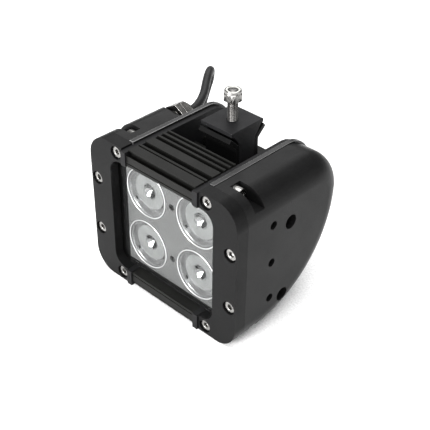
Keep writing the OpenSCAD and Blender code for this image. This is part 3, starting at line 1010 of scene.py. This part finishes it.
BEZEL_SHANK = 15 * MM
COVER_SHANK = 22.9 * MM
BOLT_RADIUS = 3 * MM
BOLT_HEAD_HEIGHT = 4 * MM


class FOGLIGHT_OT_fasteners(bpy.types.Operator):
    """Makes the socket screws, foot bolt and lock nut"""

    bl_idname = "foglight.fasteners"
    bl_label = "Screws, bolt and nut"

    def execute(self, context):
        sizes = context.scene.fog_sizes
        head = cap_screw_mesh(M4_HEAD_RADIUS, M4_HEAD_HEIGHT, M4_SOCKET, M4_SOCKET_DEPTH)
        screw = joined("m4_screw", head, screw_shank_mesh(M4_RADIUS, BEZEL_SHANK))
        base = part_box("bezel_screws")[0][1] + M4_HEAD_HEIGHT
        spots = []
        for x, z in BEZEL_SCREWS:
            for sx in (-1, 1):
                for sz in (-1, 1):
                    at = drawn(sx * x * MM, 0, sz * z * MM)
                    at.y = base
                    spots.append((at, (0, -1, 0), 0.35 * sx + 0.8 * sz + x))
        mesh = repeated("bezel_cap_screws", screw, spots, "stainless")
        add_piece("bezel_cap_screws", mesh, [], "light", "steel", ["bezel_screws"])
        low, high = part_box("cover_screws")
        y = (low[1] + high[1]) / 2
        head_r = (high[1] - low[1]) / 2
        head = cap_screw_mesh(head_r, M4_HEAD_HEIGHT, M4_SOCKET, M4_SOCKET_DEPTH)
        screw = joined("m4_long", head, screw_shank_mesh(M4_RADIUS, COVER_SHANK))
        spots = []
        for sx in (-1, 1):
            for z in (low[2] + head_r, high[2] - head_r):
                at = Vector((sx * (high[0] - M4_HEAD_HEIGHT), y, z))
                spots.append((at, (sx, 0, 0), 0.3 * sx))
        mesh = repeated("cover_cap_screws", screw, spots, "stainless")
        add_piece("cover_cap_screws", mesh, [], "light", "steel", ["cover_screws"])
        low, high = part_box("foot_bolt")
        centre = middle("foot_bolt")
        thread = thread_mesh(
            "bolt_thread", BOLT_RADIUS, sizes.thread_depth, sizes.pitch,
            low[2] + BOLT_HEAD_HEIGHT, high[2],
        )
        rings = [
            (4.6 * MM, 0, HEX_CORNER), (5.1 * MM, 0.05 * MM, HEX_CORNER),
            (5.8 * MM, 0.5 * MM, HEX_CORNER), (5.8 * MM, BOLT_HEAD_HEIGHT, HEX_CORNER),
        ]
        bolt_head = turned("bolt_head", rings, 60)
        place_mesh(bolt_head, Vector((0, 0, low[2])))
        bolt = joined("track_bolt", thread, bolt_head)
        bolt.transform(Matrix.Translation((centre.x, centre.y, 0)))
        add_piece("track_bolt", bolt, ["thread_steel"], "bolt", "steel", ["foot_bolt"])
        low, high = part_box("foot_nut")
        nut = lock_nut_mesh(high[2] - low[2], 3.05 * MM)
        at = Vector((centre.x, centre.y, low[2]))
        place_mesh(nut, at, spin=math.radians(12))
        add_piece("lock_nut", nut, ["stainless"], "nut", "steel", ["foot_nut"])
        return {"FINISHED"}


# --- Gland and inner parts --------------------------------------------------------------

# The frame nodes that keep their own mesh, each with its material
KEPT = [
    ("lens_gasket", "seal_silicone"), ("led_board", "board_mask"),
    ("driver_board", "board_green"), ("driver_parts", "driver_dark"),
    ("tray_screws", "screw_oxide"), ("cover_washers", "stainless"),
    ("gland_seal", "seal_silicone"), ("nut_ring", "nylon_ring"),
    ("plug_seal", "wire_seal_red"), ("plug_pins", "pin_brass"),
]


class FOGLIGHT_OT_gland(bpy.types.Operator):
    """Makes the cable gland and finishes the inner parts"""

    bl_idname = "foglight.gland"
    bl_label = "Gland and inner parts"

    def execute(self, context):
        for node in ("gland_body", "gland_nut"):
            name = node.replace("gland", "cable_gland")
            mesh = softened(node, name, 0.35 * MM, 3)
            add_piece(name, mesh, ["nickel"], "light", "gland_nickel", [node])
        for node, material in KEPT:
            mesh = NODES[node].data
            mesh.materials.clear()
            mesh.materials.append(MADE[material])
        return {"FINISHED"}


# --- Stage ------------------------------------------------------------------------------


# name, place, aim, width and height, watts
LAMPS = [
    ("overhead", (0, 0, 1.5), (0, 0, 0), (1.5, 1.5), 30),
    ("front", (0.62, -0.85, 0.85), (0, 0, 0.05), (0.7, 0.5), 9),
    ("back", (-0.8, 0.9, 0.9), (0, 0, 0.05), (1.1, 0.7), 4),
    ("side", (0.95, 0.5, 0.3), (0.03, 0, 0.05), (0.2, 0.7), 2),
    ("lens fill", (-0.1, -0.95, 0.30), (0, 0, 0.046), (0.35, 0.35), 14),
]
SKY_STRENGTH = 0.28
FLOOR_HALF = 6.0


def studio_lamp(name, at, aim, size, power):
    """An area lamp at a place, turned towards its aim."""
    data = bpy.data.lights.new(name, "AREA")
    data.shape = "RECTANGLE"
    data.size, data.size_y = size
    data.energy = power
    lamp = bpy.data.objects.new(name, data)
    lamp.location = at
    lamp.rotation_euler = (Vector(aim) - Vector(at)).to_track_quat("-Z", "Y").to_euler()
    bpy.context.scene.collection.objects.link(lamp)


class FOGLIGHT_OT_stage(bpy.types.Operator):
    """Makes the camera, floor and studio light"""

    bl_idname = "foglight.stage"
    bl_label = "Camera, floor and light"

    def execute(self, context):
        scene = context.scene
        studio = scene.fog_studio
        az, el, roll = studio.azimuth, studio.elevation, studio.roll
        back = Vector((
            math.sin(az) * math.cos(el), -math.cos(az) * math.cos(el), math.sin(el),
        ))
        level = Vector((math.cos(az), math.sin(az), 0))
        right = level * math.cos(roll) + back.cross(level) * math.sin(roll)
        up = back.cross(right)
        data = bpy.data.cameras.new("camera")
        data.lens = studio.lens
        data.sensor_width = 36
        data.clip_start = 0.01
        camera = bpy.data.objects.new("camera", data)
        turn = Matrix((right, up, back)).transposed().to_4x4()
        target = drawn(*studio.target)
        camera.matrix_world = Matrix.Translation(target + back * studio.distance) @ turn
        scene.collection.objects.link(camera)
        scene.camera = camera

        mesh = bpy.data.meshes.new("floor")
        half = FLOOR_HALF
        mesh.from_pydata(
            [(-half, -half, 0), (half, -half, 0), (half, half, 0), (-half, half, 0)],
            [], [(0, 1, 2, 3)],
        )
        coated("floor_paper", scene.fog_colours.floor, 0.85, 40, 0.05 * MM)
        mesh.materials.append(MADE["floor_paper"])
        floor = bpy.data.objects.new("floor", mesh)
        scene.collection.objects.link(floor)

        world = bpy.data.worlds.new("studio")
        world.use_nodes = True
        sky = world.node_tree.nodes["Background"]
        sky.inputs["Color"].default_value = (1, 1, 1, 1)
        sky.inputs["Strength"].default_value = SKY_STRENGTH
        scene.world = world
        scene.view_settings.view_transform = "Standard"
        for lamp in LAMPS:
            studio_lamp(*lamp)
        return {"FINISHED"}


# --- Add-on -----------------------------------------------------------------------------


class FOGLIGHT_PT_panel(bpy.types.Panel):
    """Lists the fog light's pieces"""

    bl_label = "Fog Light"
    bl_idname = "FOGLIGHT_PT_panel"
    bl_space_type = "VIEW_3D"
    bl_region_type = "UI"
    bl_category = "Fog Light"

    def draw(self, context):
        for group in ("fog_sizes", "fog_colours", "fog_studio"):
            settings = getattr(context.scene, group)
            for name in settings.__annotations__:
                self.layout.prop(settings, name)
        for operator in OPERATORS:
            self.layout.operator(operator.bl_idname)


OPERATORS = (
    FOGLIGHT_OT_stage, FOGLIGHT_OT_lead, FOGLIGHT_OT_castings, FOGLIGHT_OT_body,
    FOGLIGHT_OT_optics, FOGLIGHT_OT_fasteners, FOGLIGHT_OT_gland,
)
CLASSES = (FogLightSizes, FogLightColours, FogLightStudio, *OPERATORS, FOGLIGHT_PT_panel)


def register():
    for cls in CLASSES:
        bpy.utils.register_class(cls)
    bpy.types.Scene.fog_sizes = PointerProperty(type=FogLightSizes)
    bpy.types.Scene.fog_colours = PointerProperty(type=FogLightColours)
    bpy.types.Scene.fog_studio = PointerProperty(type=FogLightStudio)


def unregister():
    del bpy.types.Scene.fog_sizes
    del bpy.types.Scene.fog_colours
    del bpy.types.Scene.fog_studio
    for cls in reversed(CLASSES):
        bpy.utils.unregister_class(cls)


def main():
    register()
    make_materials(bpy.context.scene.fog_colours)
    for operator in OPERATORS:
        group, name = operator.bl_idname.split(".")
        getattr(getattr(bpy.ops, group), name)()
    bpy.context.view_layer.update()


if __name__ == "__main__":
    main()
